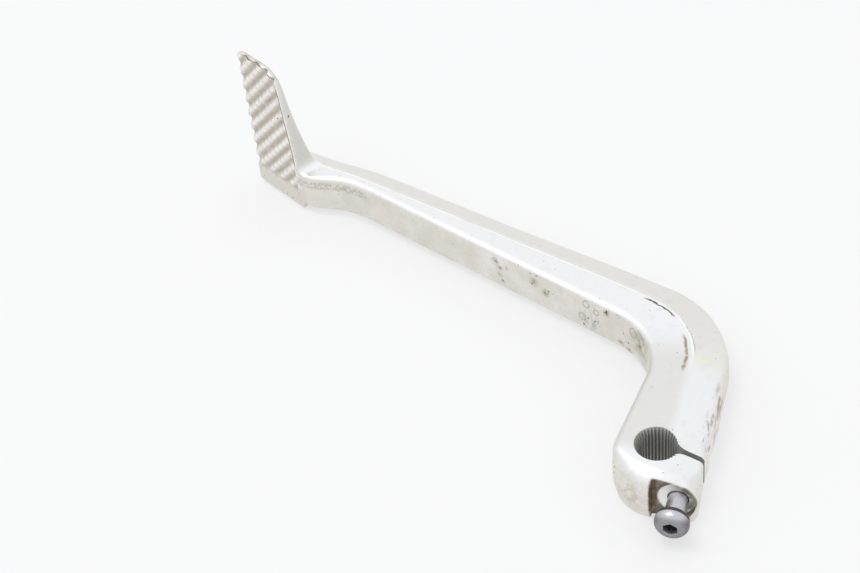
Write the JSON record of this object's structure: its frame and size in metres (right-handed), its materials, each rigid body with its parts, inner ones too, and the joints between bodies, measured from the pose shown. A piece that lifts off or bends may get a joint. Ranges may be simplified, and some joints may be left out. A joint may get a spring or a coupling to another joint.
{
  "type": "motorcycle gear shift lever",
  "caption": "Bent one-piece aluminium shift lever with a serrated split clamp, a button head pinch bolt with spring lock washer, and an upright ribbed toe plate.",
  "frame": {"origin": "on the axis of the serrated bore, in the plane of the clamp's inboard face", "axes": "+Z along the bore, from the inboard face towards the toe plate's free end; +X along the clamp slot, away from the bore; +Y from the clamp up the short leg, with the pinch bolt parallel to Y"},
  "size_m": [0.19, 0.1472, 0.0583],
  "materials": {
    "lever_alloy": "tumbled bare forging, satin, with brown handling stains and small corrosion pits",
    "bolt_steel": "worn zinc over dark steel, satin",
    "washer_steel": "dark oiled spring steel"
  },
  "bodies": {
    "lever": {"lever_body": "lever_alloy"},
    "screw_carrier": {"lock_washer": "washer_steel"},
    "bolt": {"pinch_bolt": "bolt_steel"}
  },
  "joints": [
    {"name": "bolt_travel", "type": "slide", "parent": "lever", "child": "screw_carrier", "axis": [0, -1, 0], "range_m": [-0.007, 0.003]},
    {"name": "bolt_turn", "type": "hinge", "parent": "screw_carrier", "child": "bolt", "pos_m": [0.0088, -0.0211, 0.0085], "axis": [0, -1, 0], "range_deg": [-2520, 1080]}
  ],
  "couplings": [
    {"joint": "bolt_turn", "follows": "bolt_travel", "rad_per_m": 6283.2}
  ]
}
